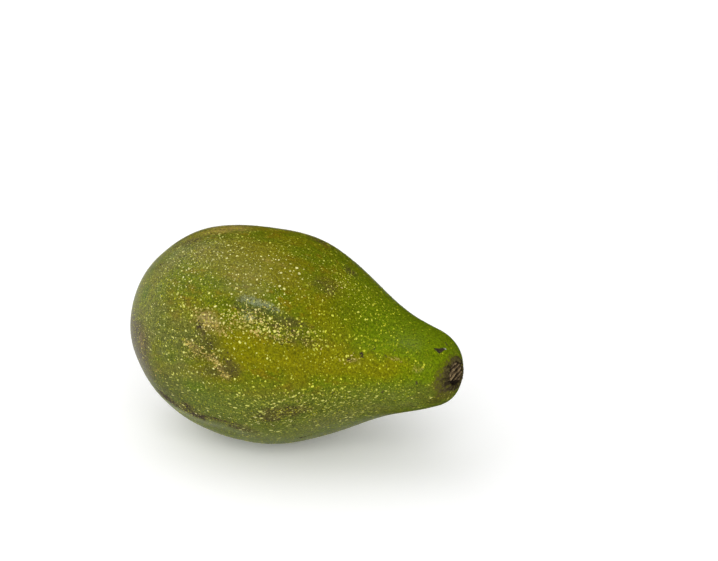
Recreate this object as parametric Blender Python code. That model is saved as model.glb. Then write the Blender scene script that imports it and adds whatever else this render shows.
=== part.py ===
"""A whole pear-shaped green fruit lying on its side, with the woody end of its stalk left in the pit."""

import math

import bmesh
import bpy
import numpy as np

for leftover in list(bpy.data.objects):
    bpy.data.objects.remove(leftover, do_unlink=True)

# Driving sizes, in metres and degrees
BODY_LENGTH = 0.1503  # along the bent middle line, from blossom end to stalk end
RING_RADII = (0.0178, 0.0296, 0.0398, 0.0452, 0.0468, 0.0455, 0.0378, 0.0267, 0.0194, 0.0157, 0.0104)
BEND_FROM, BEND_TO = 0.064, 0.142  # stretch along the body over which it turns
PLAN_START, PLAN_END = -4.6, 9.9  # which way the middle line heads, seen from above; plus turns it to -Y
SAG_START, SAG_END = 4.7, -7.1  # how far it heads downward at the two ends
SETTLE_PITCH, SETTLE_ROLL = 0.0, 0.0  # small turns that bring the weight over the resting spot
REST_DEPTH = 0.0012  # how far the underside is pressed flat by its own weight
REST_SOFTNESS = 0.00035  # height over which the flat spot runs out into the curve

PIT_SIDE, PIT_OFFSET = 285.0, 0.0011  # the pit lies a little off the middle line, toward this angle
PIT_OFFSET_RUN = 0.012  # length over which the end leans to it
DIMPLE_RADIUS, DIMPLE_DEPTH = 0.0035, 0.0006  # where the flower was
LIP_RADIUS = 0.0060  # crest of the low collar round the stalk pit
PIT_RADIUS = 0.0049
PIT_DEPTH = 0.0027
STALK_GAP = 0.0003
STALK_TOP_DROP = 0.0005  # the stalk's end lies this far below the crest of the collar
RIDGE_PITCH = 0.00185  # splinters across the stalk's broken end
RIDGE_HEIGHT = 0.00055
RIDGE_TURN = 38.0

AROUND = 72  # facets round the body
ALONG = 48  # rings along the body
RING_CROWDING = 0.3  # how much closer the rings stand over the middle of the body
STALK_AROUND = 44
STALK_RINGS = 11

# Soft hollows and swellings of the skin: station along the body, angle round it (0 faces -Y, 90 is up),
# half length, half width, height; minus is a hollow. Lengths in millimetres
SWELLS = (
    # The side of the blossom end that grew flat, and its fuller shoulder above
    (14.0, 302.0, 22.0, 26.0, -3.1),
    (14.0, 100.0, 20.0, 22.0, 0.6),
    (30.0, 95.0, 24.0, 24.0, -1.1),
    # Underside and neck, which aren't quite round
    (70.0, 250.0, 25.0, 25.0, -1.1),
    (95.0, 290.0, 22.0, 20.0, -1.7),
    (118.0, 70.0, 16.0, 14.0, -0.4),
    (132.0, 310.0, 14.0, 14.0, 1.3),
    (146.0, 200.0, 8.0, 8.0, -0.4),
    # Long shallow dent on the upper front, with a swollen edge above it
    (73.0, 36.5, 18.0, 5.5, -0.75),
    (66.0, 46.5, 14.0, 5.0, 0.55),
    # Crooked hollow across the front, under a scar
    (43.5, 20.0, 4.5, 6.0, -0.55),
    (50.5, 8.0, 5.5, 6.0, -0.5),
    (34.0, 13.0, 13.0, 4.5, -0.45),
    # Low ridge where the front turns under, and the fold beside it
    (47.0, 328.0, 19.0, 4.5, 0.5),
    (44.0, 318.0, 19.0, 4.0, -0.4),
    (56.0, 311.0, 7.0, 6.0, 0.45),
    # Gentle unevenness elsewhere
    (84.0, 345.0, 14.0, 8.0, -0.4),
    (112.0, 20.0, 12.0, 9.0, -0.35),
    (98.0, 120.0, 14.0, 12.0, -0.5),
    (58.0, 165.0, 18.0, 12.0, -0.6),
    (86.0, 200.0, 16.0, 12.0, 0.5),
    (24.0, 215.0, 12.0, 12.0, -0.5),
)

# Long low waves round the body: number of lobes, where the first crest lies, height in millimetres at the widest ring
LOBES = ((2, 70.0, 0.45), (3, 15.0, 0.35), (5, 40.0, 0.16))


def smooth_curve(values):
    """Second derivatives of the natural cubic curve through values at equal steps, and a function that reads it."""
    known = np.array(values, float)
    count = len(known)
    system = np.eye(count)
    right = np.zeros(count)
    for i in range(1, count - 1):
        system[i, i - 1 : i + 2] = (1.0, 4.0, 1.0)
        right[i] = 6.0 * (known[i - 1] - 2.0 * known[i] + known[i + 1])
    second = np.linalg.solve(system, right)

    def read(at):
        """The curve's value at a place counted in steps."""
        i = int(min(max(math.floor(at), 0), count - 2))
        b = at - i
        a = 1.0 - b
        bend = (a**3 - a) * second[i] + (b**3 - b) * second[i + 1]
        return a * known[i] + b * known[i + 1] + bend / 6.0

    return read


def ease(value):
    value = min(max(value, 0.0), 1.0)
    return value * value * (3.0 - 2.0 * value)


def heading(station):
    """Unit direction of the middle line at a station."""
    turn = ease((station - BEND_FROM) / (BEND_TO - BEND_FROM))
    plan = math.radians(PLAN_START + (PLAN_END - PLAN_START) * turn)
    sag = math.radians(SAG_START + (SAG_END - SAG_START) * turn)
    return np.array((math.cos(sag) * math.cos(plan), -math.cos(sag) * math.sin(plan), -math.sin(sag)))


def middle_line(steps=400):
    """Points along the middle line, added up from its heading in short steps."""
    step = BODY_LENGTH / steps
    points = [np.zeros(3)]
    for i in range(steps):
        points.append(points[-1] + heading((i + 0.5) * step) * step)
    return np.array(points)


MIDDLE = middle_line()


def place(station, radius, angle):
    """Point at a distance from the middle line, at an angle round it."""
    at = min(max(station / BODY_LENGTH, 0.0), 1.0) * (len(MIDDLE) - 1)
    i = int(min(math.floor(at), len(MIDDLE) - 2))
    centre = MIDDLE[i] + (MIDDLE[i + 1] - MIDDLE[i]) * (at - i)
    ahead = heading(station)
    centre = centre + ahead * (station - min(max(station, 0.0), BODY_LENGTH))
    front = np.cross(ahead, (0.0, 0.0, 1.0))
    front /= np.linalg.norm(front)
    top = np.cross(front, ahead)
    side = math.radians(PIT_SIDE)
    lean = PIT_OFFSET * ease((station - BODY_LENGTH + PIT_OFFSET_RUN) / PIT_OFFSET_RUN)
    centre = centre + lean * (math.cos(side) * front + math.sin(side) * top)
    return centre + radius * (math.cos(angle) * front + math.sin(angle) * top)


def turned_gap(a, b):
    return (a - b + math.pi) % (2.0 * math.pi) - math.pi


def relief(station, angle, radius):
    """Height of the soft hollows, swellings and lobes over the round body."""
    share = radius / max(RING_RADII)
    far, wide = station * 1000.0, radius * 1000.0
    height = 0.0
    for lobes, crest, size in LOBES:
        height += size * share * share * math.cos(lobes * (angle - math.radians(crest)))
    for at, side, half_length, half_width, size in SWELLS:
        along = (far - at) / half_length
        across = turned_gap(angle, math.radians(side)) * wide / half_width
        height += size * math.exp(-(along * along + across * across))
    return height / 1000.0


def fruit_rings():
    """Rings of the skin from the blossom end to the floor of the stalk pit, each a list of points."""
    radius_at = smooth_curve((0.0,) + RING_RADII + (0.0,))
    steps = len(RING_RADII) + 1
    last = math.pi
    while radius_at(last / math.pi * steps) < LIP_RADIUS + 0.0012:
        last -= 0.001
    rings = []
    for ring in [0.42] + list(range(1, ALONG + 1)):
        share = ring / ALONG
        slant = last * (share + RING_CROWDING * math.sin(2.0 * math.pi * share) / (2.0 * math.pi))
        station = BODY_LENGTH * (1.0 - math.cos(slant)) / 2.0
        round_radius = radius_at(slant / math.pi * steps)
        dimple = DIMPLE_DEPTH * math.exp(-((round_radius / DIMPLE_RADIUS) ** 2)) if slant < 1.0 else 0.0
        row = []
        for k in range(AROUND):
            angle = 2.0 * math.pi * k / AROUND
            height = relief(station, angle, round_radius)
            row.append(place(station + dimple, round_radius + height, angle))
        rings.append(row)
    end = BODY_LENGTH * (1.0 - math.cos(last)) / 2.0
    crest = end + 0.0009
    pit = (
        (end + 0.00062, LIP_RADIUS + 0.0005),
        (crest, LIP_RADIUS - 0.0001),
        (crest - 0.0001, LIP_RADIUS - 0.00055),
        (crest - 0.0006, PIT_RADIUS + 0.0001),
        (crest - 0.0016, PIT_RADIUS - 0.0001),
        (crest - PIT_DEPTH + 0.0003, PIT_RADIUS - 0.0003),
        (crest - PIT_DEPTH, PIT_RADIUS - 0.0008),
        (crest - PIT_DEPTH - 0.0001, PIT_RADIUS * 0.45),
    )
    for station, radius in pit:
        row = []
        for k in range(AROUND):
            angle = 2.0 * math.pi * k / AROUND
            row.append(place(station, radius, angle))
        rings.append(row)
    start_pole = place(DIMPLE_DEPTH, 0.0, 0.0)
    floor_pole = place(crest - PIT_DEPTH - 0.0001, 0.0, 0.0)
    return start_pole, rings, floor_pole, crest


def settle(points):
    """Turns the points a little about the middle of the body, so that the weight lies over the resting spot."""
    pitch, roll = math.radians(SETTLE_PITCH), math.radians(SETTLE_ROLL)
    c, s = math.cos(pitch), math.sin(pitch)
    about_y = np.array(((c, 0.0, s), (0.0, 1.0, 0.0), (-s, 0.0, c)))
    c, s = math.cos(roll), math.sin(roll)
    about_x = np.array(((1.0, 0.0, 0.0), (0.0, c, -s), (0.0, s, c)))
    return np.asarray(points) @ (about_x @ about_y).T


def build_mesh(name, start_pole, rings, end_pole):
    """Closed mesh of rings with a point at each end."""
    mesh = bpy.data.meshes.new(name)
    work = bmesh.new()
    rows = [[work.verts.new(point) for point in row] for row in rings]
    first, last = work.verts.new(start_pole), work.verts.new(end_pole)
    around = len(rows[0])
    for k in range(around):
        n = (k + 1) % around
        work.faces.new((first, rows[0][n], rows[0][k]))
        for lower, upper in zip(rows, rows[1:]):
            work.faces.new((lower[k], lower[n], upper[n], upper[k]))
        work.faces.new((rows[-1][k], rows[-1][n], last))
    bmesh.ops.recalc_face_normals(work, faces=work.faces)
    work.to_mesh(mesh)
    work.free()
    for face in mesh.polygons:
        face.use_smooth = True
    built = bpy.data.objects.new(name, mesh)
    bpy.context.scene.collection.objects.link(built)
    return built


def give_material(built, name, color, roughness):
    skin = bpy.data.materials.new(name)
    skin.use_nodes = True
    shader = skin.node_tree.nodes["Principled BSDF"]
    shader.inputs["Base Color"].default_value = (*color, 1.0)
    shader.inputs["Roughness"].default_value = roughness
    shader.inputs["Metallic"].default_value = 0.0
    built.data.materials.append(skin)


def stalk_rings(crest):
    """The broken stalk end: a short plug with splinters across its top."""
    wall = PIT_RADIUS - 0.0003 - STALK_GAP - 0.00005
    bottom = crest - PIT_DEPTH + STALK_GAP + 0.0001
    top = crest - STALK_TOP_DROP
    turn = math.radians(RIDGE_TURN)
    rings = []
    for station, radius in ((bottom, wall - 0.0006), (bottom + 0.0004, wall - 0.0001), (bottom + 0.0011, wall)):
        rings.append([place(station, radius, 2.0 * math.pi * k / STALK_AROUND) for k in range(STALK_AROUND)])
    for ring in range(STALK_RINGS):
        share = 1.0 - ring / STALK_RINGS
        radius = wall * share
        row = []
        for k in range(STALK_AROUND):
            angle = 2.0 * math.pi * k / STALK_AROUND
            across = radius * math.sin(angle - turn)
            along = radius * math.cos(angle - turn)
            wave = math.cos(2.0 * math.pi * across / RIDGE_PITCH + 0.5 * math.sin(along * 700.0 + 0.6))
            uneven = 0.00022 * math.sin(along * 640.0 + across * 520.0 + 1.0)
            edge = ease((wall - radius) / 0.0008)
            height = edge * (0.5 * RIDGE_HEIGHT * wave + uneven) - (1.0 - edge) * 0.0003
            row.append(place(top + height, radius, angle))
        rings.append(row)
    centre_height = 0.5 * RIDGE_HEIGHT
    return place(bottom, 0.0, 0.0), rings, place(top + centre_height, 0.0, 0.0)


def lower_to_floor(points, drop):
    """Sets the body on the floor, with its underside pressed flat and running out softly into the curve."""
    moved = np.array(points)
    height = moved[..., 2] + drop
    soft = REST_SOFTNESS
    blend = (height + soft) ** 2 / (4.0 * soft)
    moved[..., 2] = np.where(height >= soft, height, np.where(height <= -soft, 0.0, blend))
    return moved


start, rows, floor, crest_station = fruit_rings()
rows = settle(rows)
start, floor = settle(start), settle(floor)
sink = -rows[..., 2].min() - REST_DEPTH
rows = lower_to_floor(rows, sink)
start, floor = start + (0.0, 0.0, sink), floor + (0.0, 0.0, sink)
box_middle = np.array([(rows[..., a].min() + rows[..., a].max()) / 2.0 for a in (0, 1)] + [0.0])
fruit = build_mesh("fruit", start - box_middle, rows - box_middle, floor - box_middle)
give_material(fruit, "skin", (0.175, 0.205, 0.012), 0.42)

bottom_pole, plug, top_pole = stalk_rings(crest_station)
shift = np.array((0.0, 0.0, sink)) - box_middle
stalk = build_mesh("stalk_end", settle(bottom_pole) + shift, settle(plug) + shift, settle(top_pole) + shift)
give_material(stalk, "stalk_wood", (0.16, 0.105, 0.055), 0.8)
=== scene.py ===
import math

import bpy
import numpy as np
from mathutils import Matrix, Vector


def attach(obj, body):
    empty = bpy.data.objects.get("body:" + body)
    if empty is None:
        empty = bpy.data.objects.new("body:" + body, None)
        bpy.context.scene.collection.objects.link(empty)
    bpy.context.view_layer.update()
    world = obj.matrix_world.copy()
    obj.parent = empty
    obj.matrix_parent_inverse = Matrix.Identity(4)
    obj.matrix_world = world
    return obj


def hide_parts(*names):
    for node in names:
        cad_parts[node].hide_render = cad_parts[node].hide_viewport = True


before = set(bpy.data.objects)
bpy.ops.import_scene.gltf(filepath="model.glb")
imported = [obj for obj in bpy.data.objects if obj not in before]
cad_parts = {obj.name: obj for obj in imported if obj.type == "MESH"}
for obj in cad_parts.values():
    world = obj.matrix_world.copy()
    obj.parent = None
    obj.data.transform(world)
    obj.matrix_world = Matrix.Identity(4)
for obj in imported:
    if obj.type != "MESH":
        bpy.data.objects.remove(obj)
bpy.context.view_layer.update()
print("frame loaded:", ", ".join(sorted(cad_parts)))

# The body of the fruit. Lengths in metres, angles in degrees, swells and lobes in millimetres
body = {
    "length": 0.1503,
    "ringRadii": (0.0178, 0.0296, 0.0398, 0.0452, 0.0468, 0.0455, 0.0378, 0.0267, 0.0194, 0.0157, 0.0104),
    "bendFrom": 0.064, "bendTo": 0.142,  # stretch over which the middle line turns
    "planStart": -4.6, "planEnd": 9.9,  # its heading seen from above
    "sagStart": 4.7, "sagEnd": -7.1,  # and how far it heads down
    "restDepth": 0.0012, "restSoftness": 0.00035,
    "dimpleRadius": 0.0035, "dimpleDepth": 0.0006,
    "pitSide": 285, "pitOffset": 0.0011, "pitOffsetRun": 0.012,
    "lipRadius": 0.0060, "pitRadius": 0.0049, "pitDepth": 0.0027,
    # number of lobes, angle of the first crest, height at the widest ring
    "lobes": ((2, 70, 0.45), (3, 15, 0.35), (5, 40, 0.16)),
    # station, angle, half length, half width, height
    "swells": (
        (14, 302, 22, 26, -3.1), (14, 100, 20, 22, 0.6), (30, 95, 24, 24, -1.1),
        (70, 250, 25, 25, -1.1), (95, 290, 22, 20, -1.7), (118, 70, 16, 14, -0.4),
        (132, 310, 14, 14, 1.3), (146, 200, 8, 8, -0.4),
        (73, 36.5, 18, 5.5, -0.75), (66, 46.5, 14, 5, 0.55),
        (43.5, 20, 4.5, 6, -0.55), (50.5, 8, 5.5, 6, -0.5), (34, 13, 13, 4.5, -0.45),
        (47, 328, 19, 4.5, 0.5), (44, 318, 19, 4, -0.4), (56, 311, 7, 6, 0.45),
        (84, 345, 14, 8, -0.4), (112, 20, 12, 9, -0.35), (98, 120, 14, 12, -0.5),
        (58, 165, 18, 12, -0.6), (86, 200, 16, 12, 0.5), (24, 215, 12, 12, -0.5),
    ),
    "around": 430, "along": 206,  # cells of the skin
    "inset": 0.00014, "endInset": 0.00024,  # the skin stays this far inside the solid, for the dots on it
    "pebble": 0.000035, "pebbleSize": 0.0034,  # low bumps of the skin
    "wave": 0.00009, "waveSize": 0.0105,
    "skinEdge": 0.0012, "crestRise": 0.0009, "crestInset": 0.0001,  # where the skin meets the collar
    "dimpleSlant": 1.0, "calmEnd": 0.12,  # the dimple keeps to the flower end, the bumps fade before the collar
    "crowding": 0.3, "poleShares": (0.12, 0.3, 0.6), "coarsePole": 0.42,  # rings crowd towards the ends
}

# The uneven collar: slow waves (count, phase, size) and short folds (count, swing, turns, phase, size)
collar = {
    "wave": 0.00022, "fold": 0.00014, "drop": 0.0004, "foldDrop": 0.45, "highSide": 80,
    "floorDip": 0.0001,  # how much lower the middle of the pit floor is
    "waves": ((2, 1.0, 0.6), (3, 2.2, 0.4), (5, 0.4, 0.3)),
    "folds": ((19, 1.5, 2, 0.0, 1.0), (31, 2.0, 3, 1.0, 0.6)),
}


# Natural cubic curve through values at equal steps: the second differences solve a three-band system
def naturalCurve(values):
    known = np.array(values, float)
    count = len(known)
    bands = np.eye(count)
    right = np.zeros(count)
    inner = np.arange(1, count - 1)
    bands[inner, inner - 1] = 1.0
    bands[inner, inner] = 4.0
    bands[inner, inner + 1] = 1.0
    right[1:-1] = 6.0 * (known[:-2] - 2.0 * known[1:-1] + known[2:])
    second = np.linalg.solve(bands, right)

    def read(at):
        at = np.asarray(at, float)
        i = np.clip(np.floor(at).astype(int), 0, count - 2)
        b = at - i
        a = 1.0 - b
        return a * known[i] + b * known[i + 1] + ((a**3 - a) * second[i] + (b**3 - b) * second[i + 1]) / 6.0

    return read


# Smooth step: 3 t squared minus 2 t cubed
def ease(value):
    value = np.clip(value, 0.0, 1.0)
    return value * value * (3.0 - 2.0 * value)


# Heading of the middle line: plan and sag angles that turn smoothly along the bend
def heading(station):
    turn = ease((np.asarray(station, float) - body["bendFrom"]) / (body["bendTo"] - body["bendFrom"]))
    plan = np.radians(body["planStart"] + (body["planEnd"] - body["planStart"]) * turn)
    sag = np.radians(body["sagStart"] + (body["sagEnd"] - body["sagStart"]) * turn)
    return np.stack((np.cos(sag) * np.cos(plan), -np.cos(sag) * np.sin(plan), -np.sin(sag)), -1)


# Middle line: the running sum of the heading in short equal steps
lineSteps = 400
lineStations = np.linspace(0.0, body["length"], lineSteps + 1)
linePoints = np.zeros((lineSteps + 1, 3))
lineStep = body["length"] / lineSteps
linePoints[1:] = np.cumsum(heading(lineStations[:-1] + 0.5 * lineStep), 0) * lineStep


# A point at a distance from the middle line: centre plus radius times (cos angle front plus sin angle top)
def aroundLine(station, radius, angle):
    station, radius, angle = np.broadcast_arrays(
        np.asarray(station, float), np.asarray(radius, float), np.asarray(angle, float))
    held = np.clip(station, 0.0, body["length"])
    centre = np.stack([np.interp(held, lineStations, linePoints[:, k]) for k in range(3)], -1)
    ahead = heading(station)
    centre = centre + ahead * (station - held)[..., None]
    front = np.cross(ahead, (0.0, 0.0, 1.0))
    front /= np.linalg.norm(front, axis=-1, keepdims=True)
    top = np.cross(front, ahead)
    side = math.radians(body["pitSide"])
    lean = body["pitOffset"] * ease((station - body["length"] + body["pitOffsetRun"]) / body["pitOffsetRun"])
    centre = centre + lean[..., None] * (math.cos(side) * front + math.sin(side) * top)
    return centre + radius[..., None] * (np.cos(angle)[..., None] * front + np.sin(angle)[..., None] * top)


# Shortest turn from one angle to another
def turnGap(a, b):
    return (a - b + math.pi) % (2.0 * math.pi) - math.pi


# Adds a Gaussian mound for each row of a table: (station, angle, half length, half width, size)
def addMounds(total, rows, station, angle, radius):
    for at, side, halfLength, halfWidth, size in rows:
        along = (station * 1000.0 - at) / halfLength
        across = turnGap(angle, math.radians(side)) * radius * 1000.0 / halfWidth
        total = total + size * np.exp(-(along * along + across * across))
    return total


# Soft form over the round body: cosine lobes, and a Gaussian mound for each swell
def softForm(station, angle, radius):
    share = radius / max(body["ringRadii"])
    height = np.zeros(np.broadcast(station, angle, radius).shape)
    for lobes, crest, size in body["lobes"]:
        height = height + size * share * share * np.cos(lobes * (angle - math.radians(crest)))
    return addMounds(height, body["swells"], station, angle, radius) / 1000.0


hashPrimes = (73856093, 19349663, 83492791)
hashMask = 0x7FFFFFFF


# Value noise in space: a hash at each lattice corner, blended with a smooth step; from -1 to 1
def softNoise(points, size, seed):
    place = np.asarray(points) / size + 31.7
    cell = np.floor(place).astype(np.int64)
    share = ease(place - cell)
    total = 0.0
    for dx in (0, 1):
        for dy in (0, 1):
            for dz in (0, 1):
                steps = zip((dx, dy, dz), hashPrimes)
                corner = seed * 2654435
                for k, (step, prime) in enumerate(steps):
                    corner = corner ^ (cell[..., k] + step) * prime
                corner = ((corner & hashMask) * 1103515245 + 12345) & hashMask
                corner = ((corner >> 7) * 69069 + 1) & hashMask
                value = (corner % 65536) / 32767.5 - 1.0
                weight = (np.where(dx, share[..., 0], 1.0 - share[..., 0])
                          * np.where(dy, share[..., 1], 1.0 - share[..., 1])
                          * np.where(dz, share[..., 2], 1.0 - share[..., 2]))
                total = total + weight * value
    return total


ringCurve = naturalCurve((0.0,) + body["ringRadii"] + (0.0,))
ringSteps = len(body["ringRadii"]) + 1
slantStep = 0.001
lastSlant = math.pi
while ringCurve(lastSlant / math.pi * ringSteps) < body["lipRadius"] + body["skinEdge"]:
    lastSlant -= slantStep
endStation = body["length"] * (1.0 - math.cos(lastSlant)) / 2.0
crestStation = endStation + body["crestRise"]


# Station and plain radius at a slant: the station follows half of one minus its cosine
def ringAt(slant):
    station = body["length"] * (1.0 - np.cos(slant)) / 2.0
    return station, ringCurve(slant / math.pi * ringSteps)


# Skin without its fine bumps, before it is set down: plain radius plus the soft form, dimpled at the flower end.
# A lift moves it out along the round end as well as along the radius
def plainSkin(slant, angle, lift=0.0, endLift=0.0):
    station, radius = ringAt(slant)
    dimple = body["dimpleDepth"] * np.exp(-((radius / body["dimpleRadius"]) ** 2))
    dimple = np.where(slant < body["dimpleSlant"], dimple, 0.0) - endLift * np.cos(slant)
    return aroundLine(station + dimple, radius + softForm(station, angle, radius) + lift, angle)


# Slants of the rings: even shares with a sine taken on, which crowds them towards both ends
def ringSlants(places, cells):
    share = np.array(places)[:, None] / cells
    return lastSlant * (share + body["crowding"] * np.sin(2.0 * np.pi * share) / (2.0 * np.pi))


# Equal angles once round: the full turn times each number over the count
def roundAngles(count):
    return 2.0 * np.pi * np.arange(count) / count


# Where the solid was set down, worked out on its own coarse rings
coarseAround, coarseAlong = 72, 48
coarseSlant = ringSlants(np.r_[body["coarsePole"], np.arange(1, coarseAlong + 1)], coarseAlong)
coarse = plainSkin(coarseSlant, roundAngles(coarseAround)[None, :])
crestRing = aroundLine(crestStation, body["lipRadius"] - body["crestInset"], roundAngles(coarseAround))
low, high = coarse.reshape(-1, 3).min(0), coarse.reshape(-1, 3).max(0)
high = np.maximum(high, crestRing.max(0))
setDown = np.array((-(low[0] + high[0]) / 2.0, -(low[1] + high[1]) / 2.0, -low[2] - body["restDepth"]))


# Moves points to the fruit's place, with the underside pressed flat: a parabola joins the flat to the curve
def rest(points):
    placed = np.array(points) + setDown
    height, soft = placed[..., 2], body["restSoftness"]
    blend = (height + soft) ** 2 / (4.0 * soft)
    placed[..., 2] = np.where(height >= soft, height, np.where(height <= -soft, 0.0, blend))
    return placed


# Fine bumps of the skin: two sizes of value noise, in metres of height
def fineBumps(points, share=1.0):
    small = body["pebble"] * softNoise(points, body["pebbleSize"], 3)
    large = body["wave"] * softNoise(points, body["waveSize"], 5)
    return (small + large) * share


# The finished skin at a slant and angle: plain skin, inset, with the bumps added to the radius
def skinAt(slant, angle):
    base = plainSkin(slant, angle)
    bumps = fineBumps(base, np.clip((lastSlant - slant) / body["calmEnd"], 0.0, 1.0))
    return rest(plainSkin(slant, angle, bumps - body["inset"], -body["endInset"]))


# Points, outward normals and the two surface directions at scattered places, by central differences
def skinFrame(slant, angle):
    step = 0.004  # of a radian either way
    along = skinAt(slant + step, angle) - skinAt(slant - step, angle)
    across = skinAt(slant, angle + step) - skinAt(slant, angle - step)
    along /= np.linalg.norm(along, axis=-1, keepdims=True)
    normal = np.cross(along, across)
    normal /= np.linalg.norm(normal, axis=-1, keepdims=True)
    return skinAt(slant, angle), normal, along, np.cross(normal, along)


# Mesh object from a point array and face arrays, filled in whole arrays
def meshFromFaces(name, points, faceArrays, bakeMap=None):
    mesh = bpy.data.meshes.new(name)
    mesh.vertices.add(len(points))
    mesh.vertices.foreach_set("co", np.asarray(points, np.float32).ravel())
    sizes = np.concatenate([np.full(len(faces), faces.shape[1]) for faces in faceArrays])
    loops = np.concatenate([faces.ravel() for faces in faceArrays])
    mesh.loops.add(len(loops))
    mesh.loops.foreach_set("vertex_index", loops.astype(np.int32))
    mesh.polygons.add(len(sizes))
    mesh.polygons.foreach_set("loop_start", (np.cumsum(sizes) - sizes).astype(np.int32))
    mesh.polygons.foreach_set("use_smooth", np.ones(len(sizes), bool))
    mesh.update(calc_edges=True)
    if bakeMap is not None:
        flat = mesh.uv_layers.new(name="OFBake")
        flat.data.foreach_set("uv", np.asarray(bakeMap, np.float32).ravel())
    piece = bpy.data.objects.new(name, mesh)
    bpy.context.scene.collection.objects.link(piece)
    return piece


mapEnds, mapSides = 0.01, 0.005  # margins of the flat map


# Mesh of closed rings with a point at each end; each row of the array is one ring. Its flat map has the turn
# across and the running length up, with the seam at a chosen column
def meshFromRings(name, rings, startPole, endPole, seam=0):
    count, around = rings.shape[:2]
    points = np.vstack((rings.reshape(-1, 3), np.asarray(startPole)[None], np.asarray(endPole)[None]))
    index = np.arange(count * around).reshape(count, around)
    nextIndex = np.roll(index, -1, 1)
    quads = np.stack((index[:-1], index[1:], nextIndex[1:], nextIndex[:-1]), -1)
    first = np.stack((np.full(around, count * around), index[0], nextIndex[0]), -1)
    last = np.stack((np.full(around, count * around + 1), nextIndex[-1], index[-1]), -1)
    middle = np.vstack((np.asarray(startPole)[None], rings.mean(1), np.asarray(endPole)[None]))
    reach = np.r_[0.0, np.linalg.norm(rings - middle[1:-1, None], axis=2).mean(1), 0.0]
    run = np.r_[0.0, np.cumsum(np.hypot(np.linalg.norm(np.diff(middle, axis=0), axis=1), np.diff(reach)))]
    run = mapEnds + (1.0 - 2.0 * mapEnds) * run / run[-1]
    left = mapSides + (1.0 - 2.0 * mapSides) * ((np.arange(around) - seam) % around) / around
    right = left + (1.0 - 2.0 * mapSides) / around
    shape = (count - 1, around)
    lowRun, highRun = run[1:-2, None], run[2:-1, None]
    corners = ((left, lowRun), (left, highRun), (right, highRun), (right, lowRun))
    quadMap = np.stack([np.stack((np.broadcast_to(u, shape), np.broadcast_to(v, shape)), -1) for u, v in corners], 2)
    ends = []
    for cornersOf in (((left + right) / 2, run[0]), (left, run[1]), (right, run[1])), \
                     (((left + right) / 2, run[-1]), (right, run[-2]), (left, run[-2])):
        ends.append(np.stack([np.stack((u, np.full(around, v)), -1) for u, v in cornersOf], 1))
    bakeMap = np.concatenate((quadMap.reshape(-1, 2), ends[0].reshape(-1, 2), ends[1].reshape(-1, 2)))
    return meshFromFaces(name, points, (quads.reshape(-1, 4), np.vstack((first, last))), bakeMap)


# One number at each point, for the material to read
def pointValue(piece, name, values):
    layer = piece.data.attributes.new(name, "FLOAT", "POINT")
    layer.data.foreach_set("value", np.asarray(values, np.float32).ravel())


# Short folds that run over the collar: sines round it whose phases wander as slower sines
def collarFold(angle):
    return sum(size * np.sin(count * angle + swing * np.sin(turns * angle + phase))
               for count, swing, turns, phase, size in collar["folds"])


# Unevenness of the collar round the pit, in metres of radius: slow sines plus the folds
def collarWave(angle):
    wave = sum(size * np.sin(count * angle + phase) for count, phase, size in collar["waves"])
    return collar["wave"] * wave + collar["fold"] * collarFold(angle)


# Rings of the stalk pit, from the skin's edge over the uneven collar and down to the floor.
# Each row is the place along the line, the radius, and the share of the unevenness
def pitRings():
    lip, pit = body["lipRadius"], body["pitRadius"]
    crest = body["crestRise"]
    bottom = crest - body["pitDepth"]
    offsets = np.array((
        (0.00012, lip + 0.00115, 0.2), (0.00034, lip + 0.00088, 0.5), (0.00055, lip + 0.00062, 0.8),
        (0.00074, lip + 0.0003, 1.0), (0.00086, lip + 0.0001, 1.0), (crest, lip - 0.0001, 1.0),
        (0.00088, lip - 0.00035, 1.0), (0.0008, lip - 0.00055, 1.0), (0.00062, lip - 0.00075, 1.0),
        (0.0005, pit + 0.0003, 0.9), (0.0002, pit + 0.00008, 0.8), (-0.0007, pit - 0.0001, 0.5),
        (bottom + 0.0003, pit - 0.0003, 0.2), (bottom, pit - 0.0008, 0.0),
        (bottom - collar["floorDip"], pit * 0.45, 0.0)))
    angle = roundAngles(body["around"])[None, :]
    share = offsets[:, 2:]
    across = offsets[:, 1:2] + share * collarWave(angle)
    tilt = 0.5 - 0.5 * np.cos(angle - math.radians(collar["highSide"]))
    drop = share * collar["drop"] * (tilt + collar["foldDrop"] * collarFold(angle))
    return aroundLine(endStation + offsets[:, :1] - np.maximum(drop, 0.0), across, angle)


skinSlant = ringSlants(np.r_[body["poleShares"], np.arange(1, body["along"] + 1)], body["along"])
skinAngle = roundAngles(body["around"])[None, :]
skinRings = np.concatenate((skinAt(skinSlant, skinAngle), rest(pitRings())), 0)
startPole = rest(aroundLine(body["dimpleDepth"] + body["endInset"], 0.0, 0.0))
endPole = rest(aroundLine(crestStation - body["pitDepth"] - collar["floorDip"], 0.0, 0.0))
skin = meshFromRings("skin", skinRings, startPole, endPole, round(body["around"] * 0.75))
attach(skin, "root")
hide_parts("fruit")
print("skin:", len(skin.data.polygons), "faces")

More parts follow.
